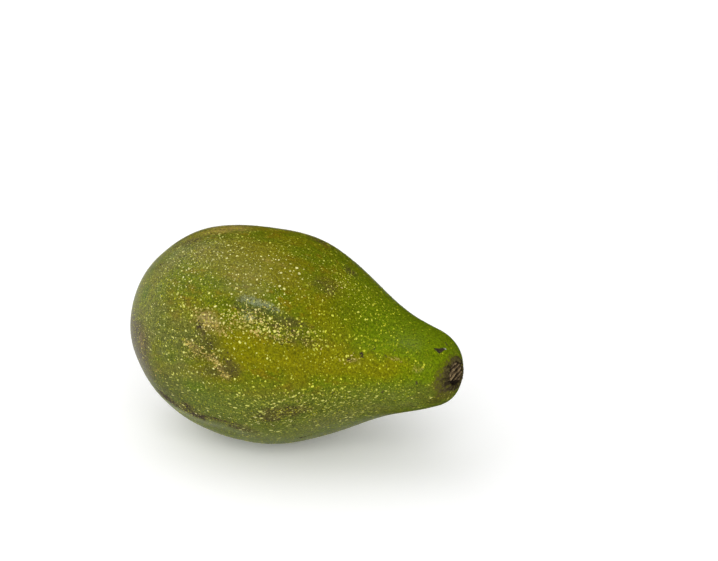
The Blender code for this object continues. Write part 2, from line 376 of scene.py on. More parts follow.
# Marks of the skin. Each is (station, angle, half length, half width, strength), in millimetres and degrees
marks = {
    # stretches of colour, painted shade, sheen and reflection among them
    "yellow": ((80, 17, 22, 6, 1), (104, 20, 16, 7, 0.8), (122, 14, 14, 6, 0.8), (66, 18, 10, 5, 0.7),
        (94, 30, 12, 4, 0.3), (132, 22, 8, 5, 0.4), (70, 66, 16, 8, 0.35), (26, 31, 3, 3, 0.5),
        (16, 45, 3, 4, 0.8), (9, 42, 4, 8, 0.5), (98, 79, 6, 4, 0.3), (75, 160, 20, 12, 0.5),
        (50, 240, 14, 9, 0.3)),
    "green": ((13.4, 39, 3, 4.5, 0.9), (34.5, 6, 4, 5, 0.6), (44, 352, 7, 4, 0.7), (51, 350, 8, 3, 0.4),
        (30, 22, 7, 5, 0.4), (24, 40, 6, 6, 0.4), (12, 60, 3, 6, 0.6), (20, 66, 4, 4, 0.5),
        (79, 37, 7, 2.6, 0.5), (108, 60, 16, 12, 0.45), (110, 200, 20, 14, 0.5), (30, 190, 12, 12, 0.5),
        (64, 120, 12, 8, 0.35)),
    # brown-grey tint of the flower end; its blue-grey cast is partly painted reflection of the surround at the
    # grazing left edge
    "tintAndReflection": ((9, 2, 9, 10, 1), (17, 2, 6, 8, 0.9), (13, 340, 8, 9, 0.8), (22, 346, 6, 5, 0.6),
        (18, 322, 9, 7, 0.5), (10, 250, 9, 12, 0.5)),
    "orange": ((34, 94, 9, 7, 0.75), (25, 84, 6, 5, 0.4), (42, 97, 8, 6, 0.5), (64.6, 68, 5, 1.6, 0.35),
        (72.4, 68, 3, 1.6, 0.45), (57, 56, 8, 2.4, 0.25), (110, 140, 12, 5, 0.3)),
    # painted reflection: a blue-grey veil for the bright surround mirrored at the left end and the floor mirrored
    # along the underside
    "paintedReflectionMist": ((32, 14, 15, 13, 0.95), (20, 30, 9, 14, 0.35), (6, 40, 4, 12, 0.5), (42, 352, 12, 7, 0.7),
        (48, 18, 10, 6, 0.5), (22, 60, 10, 10, 0.3), (120, 325, 22, 9, 0.5), (98, 325, 14, 7, 0.7),
        (138, 325, 9, 6, 0.3)),
    # greyish olive ground of the upper middle, partly painted sheen of the left light
    "bronzeAndSheen": ((52, 72, 16, 11, 0.9), (68, 62, 14, 7, 0.9), (38, 66, 12, 8, 0.7), (84, 62, 8, 6, 0.5)),
    "brown": ((93, 68, 6, 4, 0.75), (60.5, 10, 4, 3.4, 0.8), (63.6, 5.5, 4.5, 3, 0.75),
        (55.7, 2, 4, 2.5, 0.5), (47.5, 23, 2.4, 3, 0.9), (52, 16.5, 2, 3.4, 0.6), (83, 342, 10, 4.4, 0.75),
        (76, 338, 8, 2.4, 0.5), (92, 343, 7, 3, 0.6), (69, 37, 6, 1.8, 0.6), (86, 38, 9, 2, 0.7),
        (92, 28.5, 9, 2, 0.6), (78, 26.5, 10, 1.4, 0.4), (78, 33, 14, 3, 0.4), (53, 331, 12, 1.6, 0.8),
        (66, 327, 8, 2.6, 0.8), (30, 331, 8, 3, 1), (41.4, 334, 3.4, 3, 0.8), (45, 328.7, 5, 2.6, 1),
        (97.1, 97.3, 4, 3, 0.8), (76.6, 106, 6, 3, 0.8), (25.3, 79.3, 4, 2.4, 0.7),
        (19.7, 76.7, 2.4, 2.4, 0.7), (15.5, 60, 3.4, 2.4, 0.6), (17, 87.3, 2.4, 3, 0.7),
        (21, 90, 2.4, 3, 0.6), (28, 80, 3, 1.6, 0.5), (113, 22.5, 3, 1.6, 0.5), (56, 50, 10, 3, 0.25),
        (60, 200, 9, 3, 0.5), (96, 240, 8, 3, 0.5)),
    "tan": ((43, 14.5, 2.4, 2, 0.7), (46.5, 11.5, 3, 2, 0.6), (54, 9.8, 3.4, 1.6, 0.7),
        (58, 6, 2.6, 1.5, 0.6), (60.8, 2, 2.2, 1.2, 0.7), (49, 28, 4, 3.5, 0.65), (55, 25.5, 4, 2.4, 0.6),
        (45, 31, 5, 3, 0.35), (27, 351, 4, 2, 0.35), (17, 6, 2.4, 6, 0.4), (63, 30, 6, 3, 0.3),
        (114, 21, 3, 1.2, 0.5), (131, 30, 3, 1, 0.5), (141, 20, 3, 3, 0.3)),
    # painted shade: dark teal-green laid into the dents and valleys, below the crest of the long dent and down the V
    "paintedDentShade": ((62, 39.5, 5, 2.2, 0.7), (69, 39.8, 5, 2.4, 0.9), (76, 39.8, 5, 2.2, 0.7),
        (83, 39, 5, 1.8, 0.35), (33, 13, 10, 4, 0.35), (50, 1, 8, 3, 0.25)),
    # painted sheen: a pale blue-grey highlight painted along the crest above the long dent
    "sheen": ((60.5, 42.6, 2.4, 1.2, 0.4), (65, 43, 4, 1.5, 1), (71.5, 42.8, 4, 1.3, 0.9),
        (77.5, 41.6, 3, 1, 0.5), (66, 35.5, 3, 1.8, 1)),
    # painted reflection: a grey-blue haze for the soft gloss of the left light on the upper left, the left end and
    # the lower front
    "paintedSheenHaze": ((34, 70, 14, 12, 0.4), (58, 58, 14, 7, 0.3), (62, 47, 12, 4, 0.4), (7, 36, 4, 12, 0.25),
        (52, 326, 20, 4, 0.5), (49, 29, 5, 4, 0.6), (18, 74, 10, 8, 0.25), (25, 8, 10, 7, 0.3),
        (20, 346, 6, 5, 0.4)),
    # dusky olive stretches
    "dusk": ((51, 14, 9, 7, 1), (58, 4, 8, 4, 0.7), (26, 342, 10, 6, 0.7), (40, 338, 12, 5, 0.5),
        (76, 36, 16, 4, 0.55), (94, 31, 10, 4, 0.5), (36, 354, 10, 6, 0.3), (84, 338, 16, 6, 0.5),
        (60, 320, 26, 5, 0.4), (93, 72, 8, 5, 0.5), (24, 78, 10, 5, 0.4), (16, 300, 12, 12, 0.5),
        (120, 250, 16, 8, 0.4), (60, 205, 14, 8, 0.5), (40, 120, 12, 6, 0.4), (139, 338, 6, 6, 0.4),
        (145.5, 312, 5, 7, 0.8)),
    # where the grain is coarse, and where the dots are whiter
    "coarse": ((10, 40, 14, 40, 1), (30, 66, 18, 24, 0.9), (26, 92, 18, 16, 1), (36, 20, 12, 14, 0.5),
        (50, 330, 30, 10, 0.7), (66, 36, 16, 6, 0.8), (92, 340, 24, 8, 0.7), (30, 200, 26, 40, 0.8),
        (80, 280, 60, 16, 0.7), (84, 26, 14, 4, 0.4)),
    # whiter dots: partly their own pale tone, partly painted glints on the upper side that faces the light
    "white": ((34, 66, 20, 16, 1), (72, 66, 16, 10, 0.9), (96, 76, 14, 9, 0.12), (64, 50, 14, 8, 0.9),
        (68, 36, 12, 5, 0.5), (50, 26, 10, 8, 0.7), (50, 5, 14, 8, 0.6), (74, 20, 22, 10, 0.35),
        (60, 330, 34, 8, 0.4), (22, 22, 16, 26, 0.6), (30, 200, 26, 40, 0.5)),
    # where the pale dots crowd, thin out or grow
    "dense": ((14, 40, 14, 26, 0.9), (30, 60, 14, 18, 0.7), (22, 86, 14, 14, 0.9), (100, 84, 12, 9, 0.8),
        (72, 33, 20, 6, 1), (50, 29, 7, 6, 0.7), (98, 33, 8, 4, 0.8), (120, 33, 9, 8, 0.65),
        (98, 79, 5, 3.4, 1), (116, 74, 16, 12, 0.6), (92, 352, 24, 5, 0.9), (84, 341, 16, 5, 0.7),
        (48, 12, 8, 5, 0.4), (120, 352, 14, 5, 0.5), (106, 336, 20, 7, 0.7), (30, 200, 20, 20, 0.5),
        (90, 150, 20, 10, 0.6), (100, 250, 20, 9, 0.6)),
    "sparse": ((82, 15, 20, 5, 0.5), (142, 50, 12, 12, 0.7), (138, 110, 14, 14, 0.5), (130, 335, 12, 6, 0.5),
        (84, 69, 10, 6, 0.4), (60, 326, 24, 5, 0.4)),
    "large": ((72, 32, 17, 5.2, 1), (50, 29, 6, 5, 0.7), (98, 32.5, 8, 3, 0.6), (92, 352, 22, 4, 0.45),
        (106, 336, 20, 6, 0.35), (120, 33, 9, 8, 0.3), (98, 79, 5, 3, 0.4), (54, 9, 6, 3, 0.4)),
}


# Sum of the Gaussian marks of one kind at places on the skin
def blots(kind, slant, angle):
    station, radius = ringAt(slant)
    return addMounds(np.zeros(np.broadcast(slant, angle).shape), marks[kind], station, angle, radius)


# How far the cork runs out from the pit, in millimetres, further at the lower front; noise sizes in metres
corky = {
    "reach": 8.2, "start": 5.4, "run": 10.0,
    "front": 4.0, "frontSide": 338, "frontPower": 1.5, "back": 1.2, "backSide": 165,
    "ragged": 2.2, "raggedSize": 0.0048, "fine": 0.6, "fineSize": 0.0018,
}


# Corky skin round the stalk pit: a smooth step of the distance from the pit, past a reach that changes with the side
def corkField(slant, angle, points):
    station, radius = ringAt(slant)
    away = np.hypot(endStation - station, radius) * 1000.0
    front = np.maximum(np.cos(angle - math.radians(corky["frontSide"])), 0.0)
    back = np.maximum(np.cos(angle - math.radians(corky["backSide"])), 0.0)
    reach = corky["reach"] + corky["front"] * front ** corky["frontPower"]
    reach = reach + corky["back"] * back
    reach = (reach + corky["ragged"] * softNoise(points, corky["raggedSize"], 21)
             + corky["fine"] * softNoise(points, corky["fineSize"], 22))
    return 1.0 - ease((away - reach + corky["start"]) / corky["run"])


# Wide areas: stations and runs in millimetres, sides as the sine of the angle, noise sizes in metres
areas = {
    "ragged": 0.35, "raggedFine": 0.6, "raggedSize": 0.0034, "raggedFineSize": 0.0016,  # edges of the marks
    "drift": 8.0, "driftFine": 4.0, "driftSize": 0.022, "driftFineSize": 0.008,
    "neckFrom": 88.0, "neckTilt": 10.0, "neckRun": 46.0,
    "underFrom": 0.12, "underDrift": 0.06, "underRun": 0.38,
    "endFrom": 34.0, "endDrift": 0.8, "endRun": 26.0,
    # streaks that run out from the pit
    "rayRound": 2.6, "rayAlong": 0.16, "raySize": 0.34, "rayFineSize": 0.15, "rayShare": 0.5, "rayFine": 0.3,
    # painted shade of the pit, ring by ring down its wall
    "pitShadeFrom": 8, "pitShade": (0.15, 0.5, 0.9, 1.0, 1.0, 1.0, 1.0),
}
paintedMarks = ("yellow", "green", "tintAndReflection", "paintedReflectionMist", "bronzeAndSheen", "orange", "brown", "tan", "dusk", "paintedDentShade", "paintedSheenHaze",
                "sheen", "coarse")


# Value of each mark at every point of the skin, poles and pit included
def paintMarks(piece, slant, angle, rings, pitCount):
    slantAll = np.vstack((slant, np.full((pitCount, 1), lastSlant)))
    ragged = softNoise(rings, areas["raggedSize"], 11)
    ragged = ragged + areas["raggedFine"] * softNoise(rings, areas["raggedFineSize"], 12)
    fields = {}
    for kind in paintedMarks:
        fields[kind] = np.clip(blots(kind, slantAll, angle) * (1.0 + areas["ragged"] * ragged), 0.0, 1.0)
    fields["cork"] = corkField(slantAll, angle, rings)
    fields["cork"][len(slant):] = 1.0
    station, radius = (values * 1000.0 for values in ringAt(slantAll))
    drift = (areas["drift"] * softNoise(rings, areas["driftSize"], 31)
             + areas["driftFine"] * softNoise(rings, areas["driftFineSize"], 32))
    neck = station - areas["neckFrom"] + areas["neckTilt"] * np.sin(angle) + drift
    fields["neck"] = ease(neck / areas["neckRun"])
    fields["under"] = ease((areas["underFrom"] - np.sin(angle) + areas["underDrift"] * drift / areas["drift"])
                           / areas["underRun"])
    fields["end"] = ease((areas["endFrom"] - station + areas["endDrift"] * drift) / areas["endRun"])
    # the streaks are a noise read on a circle, drifting slowly with the distance from the pit
    away = np.hypot(endStation * 1000.0 - station, radius)
    circle = np.broadcast_arrays(areas["rayRound"] * np.cos(angle), areas["rayRound"] * np.sin(angle),
                                 areas["rayAlong"] * away)
    circle = np.stack(circle, -1)
    ray = areas["rayShare"] * (1.0 + softNoise(circle, areas["raySize"], 61))
    fields["ray"] = np.clip(ray + areas["rayFine"] * softNoise(circle, areas["rayFineSize"], 62), 0.0, 1.0)
    # painted shade down the pit wall
    fields["pitShade"] = np.zeros(rings.shape[:2])
    fields["pitShade"][len(slant) + areas["pitShadeFrom"]:] = np.array(areas["pitShade"])[:, None]
    for kind, values in fields.items():
        pointValue(piece, kind, np.r_[values.ravel(), values[0].mean(), values[-1].mean()])
    return fields


# A new material, with its node tree, its shader and the place on the object
def newMaterial(name):
    made = bpy.data.materials.new(name)
    made.use_nodes = True
    where = made.node_tree.nodes.new("ShaderNodeTexCoord").outputs["Object"]
    return made, made.node_tree, made.node_tree.nodes["Principled BSDF"], where


# A node with its inputs and settings given by name
def addNode(tree, kind, **settings):
    node = tree.nodes.new(kind)
    for key, value in settings.items():
        if key in node.inputs:
            node.inputs[key].default_value = value
        else:
            setattr(node, key, value)
    return node


# Gives a socket a number, a colour or the output of another node
def setSocket(tree, socket, value):
    if isinstance(value, (int, float)):
        socket.default_value = value
    elif isinstance(value, tuple):
        socket.default_value = (*value, 1.0)
    else:
        tree.links.new(value, socket)


# Colour, roughness and gloss of a shader
def setShader(tree, shader, color, roughness, specular):
    setSocket(tree, shader.inputs["Base Color"], color)
    setSocket(tree, shader.inputs["Roughness"], roughness)
    setSocket(tree, shader.inputs["Specular IOR Level"], specular)


# Fine relief, from a height that a node gives
def addBump(tree, shader, height, strength, depth):
    bump = addNode(tree, "ShaderNodeBump", Strength=strength, Distance=depth)
    tree.links.new(height, bump.inputs["Height"])
    tree.links.new(bump.outputs[0], shader.inputs["Normal"])


# The value that pointValue stored
def attributeOf(tree, name):
    return addNode(tree, "ShaderNodeAttribute", attribute_name=name).outputs["Fac"]


def mathOf(tree, operation, first, second=None, clamp=False):
    node = addNode(tree, "ShaderNodeMath", operation=operation, use_clamp=clamp)
    setSocket(tree, node.inputs[0], first)
    if second is not None:
        setSocket(tree, node.inputs[1], second)
    return node.outputs[0]


def timesOf(tree, first, second):
    return mathOf(tree, "MULTIPLY", first, second)


def plusOf(tree, first, second, clamp=False):
    return mathOf(tree, "ADD", first, second, clamp)


# Blends two colours; a colour is a tuple or an output socket
def mixOf(tree, share, first, second, mode="MIX"):
    node = addNode(tree, "ShaderNodeMix", data_type="RGBA", blend_type=mode)
    for socket, value in ((node.inputs[0], share), (node.inputs[6], first), (node.inputs[7], second)):
        setSocket(tree, socket, value)
    return node.outputs[2]


# Remaps a value from one range to another, held at the ends
def rangeOf(tree, value, fromLow, fromHigh, toLow=0.0, toHigh=1.0):
    node = addNode(tree, "ShaderNodeMapRange", clamp=True, interpolation_type="SMOOTHSTEP")
    tree.links.new(value, node.inputs["Value"])
    for name, number in (("From Min", fromLow), ("From Max", fromHigh), ("To Min", toLow), ("To Max", toHigh)):
        node.inputs[name].default_value = number
    return node.outputs["Result"]


def noiseOf(tree, where, scale, detail=3.0, roughness=0.55, distortion=0.0):
    node = addNode(tree, "ShaderNodeTexNoise", Scale=scale, Detail=detail, Roughness=roughness, Distortion=distortion)
    tree.links.new(where, node.inputs["Vector"])
    return node.outputs["Fac"]


# Share of a mark with its edge broken by a fine noise: low values thin out to specks, high values close up
def brokenOf(tree, name, noise, amount, most=1.0, soft=0.25):
    share = attributeOf(tree, name)
    near = rangeOf(tree, share, 0.02, 0.35, 0.0, amount)
    value = plusOf(tree, share, timesOf(tree, mathOf(tree, "SUBTRACT", noise, 0.5), near))
    return rangeOf(tree, value, 0.5 - soft, 0.5 + soft, 0.0, most)


# Colours of the skin, linear; some stand for painted shade, sheen and reflection
skinLook = {
    "olive": (0.162, 0.148, 0.0008),
    "oliveGreen": (0.112, 0.140, 0.0006),
    "oliveBrown": (0.176, 0.124, 0.0016),
    "neck": (0.112, 0.166, 0.0001),
    # the underside; its blue-grey is partly painted reflection of the floor
    "under": (0.098, 0.126, 0.0145),
    "end": (0.126, 0.142, 0.0020),
    "yellow": (0.180, 0.168, 0.0001),
    # colour of the painted reflection mist
    "paintedReflectionMist": (0.128, 0.133, 0.0330),
    # olive-bronze ground, partly painted sheen
    "bronzeAndSheen": (0.178, 0.160, 0.0060),
    "green": (0.078, 0.126, 0.0015),
    # brown-grey tint with a partly painted reflection
    "tintAndReflection": (0.088, 0.068, 0.0250),
    "orange": (0.330, 0.232, 0.0520),
    "brown": (0.080, 0.064, 0.0140),
    "tan": (0.268, 0.184, 0.0660),
    # painted shade of the dents and valleys
    "paintedDentShade": (0.060, 0.079, 0.0190),
    # colour of the painted sheen along the dent's crest
    "sheen": (0.190, 0.212, 0.1400),
    "cork": (0.094, 0.076, 0.0280),
    "corkEdge": (0.103, 0.090, 0.0040),
    "corkDark": (0.034, 0.025, 0.0100),
    # dark of the cracks, and of the painted shade down the pit wall
    "pit": (0.019, 0.013, 0.0070),
    # colour of the painted reflection haze
    "paintedSheenHaze": (0.209, 0.217, 0.1131),
    "dusk": (0.074, 0.071, 0.0080),
    "speck": (0.420, 0.410, 0.0120),
    "speckDark": (0.036, 0.040, 0.0025),
    # from and to of the noises that mix them in
    "greenRange": (0.40, 0.60, 0.0, 0.85), "brownRange": (0.50, 0.66, 0.0, 0.75),
    "endShare": 0.7, "neckShare": 0.95, "underShare": 0.9, "underOnNeck": 0.4,
    # specks: size of the cells, how far they are pulled about, core, share and strength
    "speckScale": 1000.0, "pullScale": 1100.0, "pull": 0.0011, "speckCore": (0.15, 0.42, 1.0, 0.0),
    "speckRange": (0.46, 0.80), "speckDarkRange": (0.50, 0.84), "speckLeast": 0.44, "speckCoarse": 0.54,
    "grainRange": (0.32, 0.68, 0.45, 1.42), "streakRange": (0.30, 0.64, 0.80, 1.12),
    "grainLeast": 0.65, "grainCoarse": 0.35,
    "corkFibre": (0.32, 0.66), "edgeRagged": (0.3, 0.7, -0.2, 0.2), "edgeRange": (0.20, 0.90, 0.0, 0.80),
    "corkRagged": (0.3, 0.7, -0.25, 0.25), "corkRange": (0.50, 1.05, 0.0, 0.95),
    "crackRange": (0.48, 0.86, 0.0, 0.85), "crackCork": (0.70, 1.0),
    "roughRange": (0.3, 0.7, 0.29, 0.41), "corkDull": 0.36, "brownDull": 0.12, "specular": 0.06,
    "streakBump": 0.5, "fibreBump": 1.8, "bump": 0.4, "bumpDepth": 0.0003,
}

# Noises of the skin: share kept of its scale along the fruit, scale, detail and roughness
skinNoises = {
    "cloud": (0.45, 75.0, 3.0, 0.55), "blotch": (0.45, 260.0, 3.0, 0.65), "grain": (1.0, 1250.0, 2.0, 0.7),
    "streak": (0.18, 620.0, 4.0, 0.65), "fibre": (1.0, 1100.0, 4.0, 0.7), "ray": (0.45, 700.0, 3.0, 0.6),
}

# Marks laid over the ground colour in turn, painted shade, sheen and reflection among them: kind, noise that breaks
# its edge, how much, most share, softness
skinLayers = (
    ("yellow", "blotch", 0.7, 0.80, 0.45), ("paintedReflectionMist", "blotch", 0.9, 0.70, 0.50), ("bronzeAndSheen", "cloud", 0.6, 0.80, 0.50),
    ("green", "blotch", 1.0, 0.75, 0.40), ("tintAndReflection", "streak", 0.8, 0.95, 0.45), ("orange", "streak", 1.3, 0.80, 0.50),
    ("dusk", "blotch", 1.6, 0.75, 0.50), ("paintedDentShade", "blotch", 1.8, 0.66, 0.45), ("paintedSheenHaze", "streak", 1.0, 0.34, 0.50),
    ("sheen", "grain", 3.6, 0.54, 0.50), ("tan", "grain", 3.0, 0.62, 0.40), ("brown", "streak", 1.9, 0.80, 0.45),
)


# Skin from the ground colour up: marks (painted shade, sheen and reflection among them), specks, grain, cork, then
# gloss and relief
def skinMaterial():
    made, tree, shader, where = newMaterial("fruit_skin")
    link = tree.links.new
    look = skinLook
    noises = {}
    for name, (along, scale, detail, roughness) in skinNoises.items():
        stretch = addNode(tree, "ShaderNodeMapping")
        stretch.inputs["Scale"].default_value = (along, 1.0, 1.0)
        link(where, stretch.inputs["Vector"])
        noises[name] = noiseOf(tree, stretch.outputs[0], scale, detail, roughness)
    grain, streak, fibre, ray = (noises[name] for name in ("grain", "streak", "fibre", "ray"))
    cork, neck, coarse = (attributeOf(tree, name) for name in ("cork", "neck", "coarse"))
    # ground colour: olive that drifts to green and to brown, then the flower end, the neck and the underside, whose
    # blue-grey is partly painted reflection of the floor
    color = mixOf(tree, rangeOf(tree, noises["cloud"], *look["greenRange"]), look["oliveGreen"], look["olive"])
    color = mixOf(tree, rangeOf(tree, noises["blotch"], *look["brownRange"]), color, look["oliveBrown"])
    color = mixOf(tree, timesOf(tree, attributeOf(tree, "end"), look["endShare"]), color, look["end"])
    color = mixOf(tree, timesOf(tree, neck, look["neckShare"]), color, look["neck"])
    low = mathOf(tree, "SUBTRACT", look["underShare"], timesOf(tree, neck, look["underOnNeck"]))
    color = mixOf(tree, timesOf(tree, attributeOf(tree, "under"), low), color, look["under"])
    for kind, noise, amount, most, soft in skinLayers:
        color = mixOf(tree, brokenOf(tree, kind, noises[noise], amount, most, soft), color, look[kind])
    # pale and dark specks between the dots, as cells of a broken net pulled about by a noise
    pull = addNode(tree, "ShaderNodeTexNoise", Scale=look["pullScale"], Detail=1.0)
    link(where, pull.inputs["Vector"])
    shift = addNode(tree, "ShaderNodeVectorMath", operation="MULTIPLY_ADD")
    link(pull.outputs["Color"], shift.inputs[0])
    shift.inputs[1].default_value = (look["pull"],) * 3
    link(where, shift.inputs[2])
    cells = addNode(tree, "ShaderNodeTexVoronoi", Scale=look["speckScale"], Randomness=1.0)
    link(shift.outputs[0], cells.inputs["Vector"])
    split = addNode(tree, "ShaderNodeSeparateColor")
    link(cells.outputs["Color"], split.inputs[0])
    core = rangeOf(tree, cells.outputs["Distance"], *look["speckCore"])
    amount = plusOf(tree, timesOf(tree, coarse, look["speckCoarse"]), look["speckLeast"])
    for k, name in enumerate(("speck", "speckDark")):
        some = timesOf(tree, core, rangeOf(tree, split.outputs[k], *look[name + "Range"]))
        color = mixOf(tree, timesOf(tree, some, amount), color, look[name])
    # fine grain over everything, stronger where the skin is coarse
    shade = timesOf(tree, rangeOf(tree, grain, *look["grainRange"]), rangeOf(tree, streak, *look["streakRange"]))
    amount = plusOf(tree, timesOf(tree, coarse, look["grainCoarse"]), look["grainLeast"])
    color = mixOf(tree, amount, color, mixOf(tree, 1.0, color, shade, "MULTIPLY"))
    # the corky end, ragged at its edge and cracked round the pit, with painted shade down the pit wall
    corkColor = mixOf(tree, rangeOf(tree, fibre, *look["corkFibre"]), look["corkDark"], look["cork"])
    edge = plusOf(tree, cork, rangeOf(tree, ray, *look["edgeRagged"]))
    color = mixOf(tree, rangeOf(tree, edge, *look["edgeRange"]), color, look["corkEdge"])
    inner = plusOf(tree, cork, rangeOf(tree, ray, *look["corkRagged"]))
    color = mixOf(tree, rangeOf(tree, inner, *look["corkRange"]), color, corkColor)
    cracks = timesOf(tree, rangeOf(tree, attributeOf(tree, "ray"), *look["crackRange"]),
                     rangeOf(tree, cork, *look["crackCork"]))
    for share in (cracks, attributeOf(tree, "pitShade")):
        color = mixOf(tree, share, color, look["pit"])
    dull = plusOf(tree, timesOf(tree, cork, look["corkDull"]),
                  timesOf(tree, attributeOf(tree, "brown"), look["brownDull"]))
    rough = plusOf(tree, rangeOf(tree, grain, *look["roughRange"]), dull, True)
    setShader(tree, shader, color, rough, look["specular"])
    # pebbled skin: fine bumps, with streaks along the fruit and fibres on the cork
    height = plusOf(tree, grain, timesOf(tree, streak, look["streakBump"]))
    height = plusOf(tree, height, timesOf(tree, timesOf(tree, fibre, cork), look["fibreBump"]))
    addBump(tree, shader, height, look["bump"], look["bumpDepth"])
    return made


fields = paintMarks(skin, skinSlant, skinAngle, skinRings, len(skinRings) - len(skinSlant))
skin.data.materials.append(skinMaterial())
print("skin marks painted:", ", ".join(fields))

# Domes of the dots and flecks. Lengths in metres
domes = {
    "firstSlant": 0.03, "edgeSlant": 0.01, "tableSteps": 3000,  # they keep off the two ends
    "sink": 0.00003, "rimLeast": 0.75, "rimSpread": 0.5, "anyTurn": 6.28,
    "skinRound": 0.08,  # twice the radius of the fruit, so that the rim follows its round
    "clear": 0.00002, "mapRadius": 0.42,
}


# Places on the skin: rows at equal arc length, each with as many cells as fit round it, moved about at random
def scatterPlaces(spacing, loose, draw):
    fine = np.linspace(domes["firstSlant"], lastSlant, domes["tableSteps"])
    station, radius = ringAt(fine)
    arc = np.r_[0.0, np.cumsum(np.hypot(np.diff(station), np.diff(radius)))]
    rows = np.arange(spacing * 0.5, arc[-1], spacing)
    counts = np.maximum(np.round(2.0 * np.pi * np.interp(rows, arc, radius) / spacing), 3).astype(int)
    rowOf = np.repeat(np.arange(len(rows)), counts)
    inRow = np.arange(counts.sum()) - np.repeat(np.cumsum(counts) - counts, counts)
    along = rows[rowOf] + loose * spacing * (draw.random(len(rowOf)) - 0.5)
    turn = inRow + draw.random(len(rows))[rowOf] + loose * (draw.random(len(rowOf)) - 0.5)
    slant = np.clip(np.interp(along, arc, fine), domes["firstSlant"], lastSlant - domes["edgeSlant"])
    return slant, (2.0 * np.pi * turn / counts[rowOf]) % (2.0 * np.pi)


# Low domes: a centre raised along the normal and a ragged rim sunk into the skin, drawn out along the fruit.
# The flat map gives each dome a square of its own
def domeMesh(name, slant, angle, size, stretch, turn, height, draw, rim):
    place, normal, along, across = skinFrame(slant, angle)
    count = len(slant)
    evenly = roundAngles(rim)
    around = evenly[None, :] + draw.random((count, 1)) * domes["anyTurn"]
    reach = size[:, None] * (domes["rimLeast"] + domes["rimSpread"] * draw.random((count, rim)))
    u = reach * np.cos(around) * np.sqrt(stretch)[:, None]
    v = reach * np.sin(around) / np.sqrt(stretch)[:, None]
    cosTurn, sinTurn = np.cos(turn)[:, None], np.sin(turn)[:, None]
    u, v = u * cosTurn - v * sinTurn, u * sinTurn + v * cosTurn
    sunk = domes["sink"] + (u * u + v * v) / domes["skinRound"]
    rimPoints = (place[:, None] + u[..., None] * along[:, None] + v[..., None] * across[:, None]
                 - sunk[..., None] * normal[:, None])
    points = np.concatenate(((place + height[:, None] * normal)[:, None], rimPoints), 1)
    points[..., 2] = np.maximum(points[..., 2], domes["clear"])
    base = (np.arange(count) * (rim + 1))[:, None]
    rimIndex = np.arange(rim)[None, :]
    faces = np.stack((np.broadcast_to(base, (count, rim)), base + 1 + rimIndex, base + 1 + (rimIndex + 1) % rim), -1)
    wide = math.ceil(math.sqrt(count))
    cell = np.stack((np.arange(count) % wide, np.arange(count) // wide), -1)[:, None] + 0.5
    circle = domes["mapRadius"] * np.stack((np.cos(evenly), np.sin(evenly)), -1)
    flatPoints = np.concatenate((cell, cell + circle[None]), 1).reshape(-1, 2) / wide
    return meshFromFaces(name, points.reshape(-1, 3), (faces.reshape(-1, 3),), flatPoints[faces.reshape(-1)])


# Colour of the dots: yellow to white by paleness (partly painted glints and reflection), to tan by warmth, then
# darker and greener by shade
def dotMaterial(name, yellow, white, tan, dark, specular, roughness):
    made, tree, shader, where = newMaterial(name)
    color = mixOf(tree, attributeOf(tree, "white"), yellow, white)
    color = mixOf(tree, attributeOf(tree, "warm"), color, tan)
    color = mixOf(tree, attributeOf(tree, "shade"), color, dark)
    grain = noiseOf(tree, where, 2200.0, 2.0)
    color = mixOf(tree, 1.0, color, rangeOf(tree, grain, 0.3, 0.6, 0.78, 1.08), "MULTIPLY")
    setShader(tree, shader, color, roughness, specular)
    return made


# Tones of each dome on all its points, then its material and place
def finishDomes(piece, rim, white, warm, shade, look):
    for kind, values in (("white", white), ("warm", warm), ("shade", shade)):
        pointValue(piece, kind, np.repeat(values, rim + 1))
    piece.data.materials.append(dotMaterial(*look))
    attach(piece, "root")
    print(piece.name + ":", len(white))


# Pale dots of the skin in two layers, large and fine. Lengths in metres
dots = {
    "spacing": 0.00190, "radius": 0.00036, "share": 0.42, "rim": 6, "seed": 4, "neckThin": 0.0,
    "look": ("dot_pale", (0.58, 0.60, 0.03), (0.84, 0.79, 0.36), (0.62, 0.47, 0.19), (0.18, 0.19, 0.001), 0.06, 0.22),
}
fineDots = {
    "spacing": 0.00125, "radius": 0.00021, "share": 0.50, "rim": 5, "seed": 5, "neckThin": 0.75,
    "look": ("dot_fine", (0.43, 0.45, 0.002), (0.72, 0.67, 0.22), (0.54, 0.40, 0.14), (0.17, 0.18, 0.001), 0.06, 0.4),
}

# Rules for both: where they lie, how large and long they are, and their tones. Stations in millimetres
dotRules = {
    "loose": 1.2, "sparse": 0.8, "uneven": 0.5, "unevenSize": 0.011, "corkThin": 0.8, "floorClear": 0.0006,
    "thinFrom": 0.085, "thinRun": 0.035, "thinSide": -0.1,  # the fine ones thin out on the neck
    "under": (0.08, 0.40), "end": (40.0, 25.0), "neck": (95.0, 40.0),  # start and run of each area
    "spread": 0.36, "larger": 0.42, "endSmaller": 0.34, "neckSmaller": 0.10,
    "least": 0.45, "most": 2.2, "neckMost": 0.6, "endMost": 0.7,
    "long": 0.6, "underLong": 1.5, "underLeast": 0.5, "endLong": 0.9, "turn": 1.2, "underTurn": 1.05,
    "height": 0.00008, "fullHeight": 0.00036, "heightRange": (0.5, 1.4),
    "warmTan": 0.75, "warmCork": 0.5, "warmLarge": 0.30,
    "shade": 0.04, "shadeSpread": 0.75, "shadePower": 1.5, "shadeMost": 0.95,
    # the last of these darkens the dots that lie in the painted dent shade
    "neckShade": 0.08, "underShade": 0.22, "largeShade": 0.06, "dotsPaintedDentShade": 0.22,
    # the last whitens the underside dots as a painted reflection of the floor
    "whiteLeast": 0.6, "whiteSpread": 0.8, "whiteAny": 0.3, "underPaintedReflection": 0.42,
}


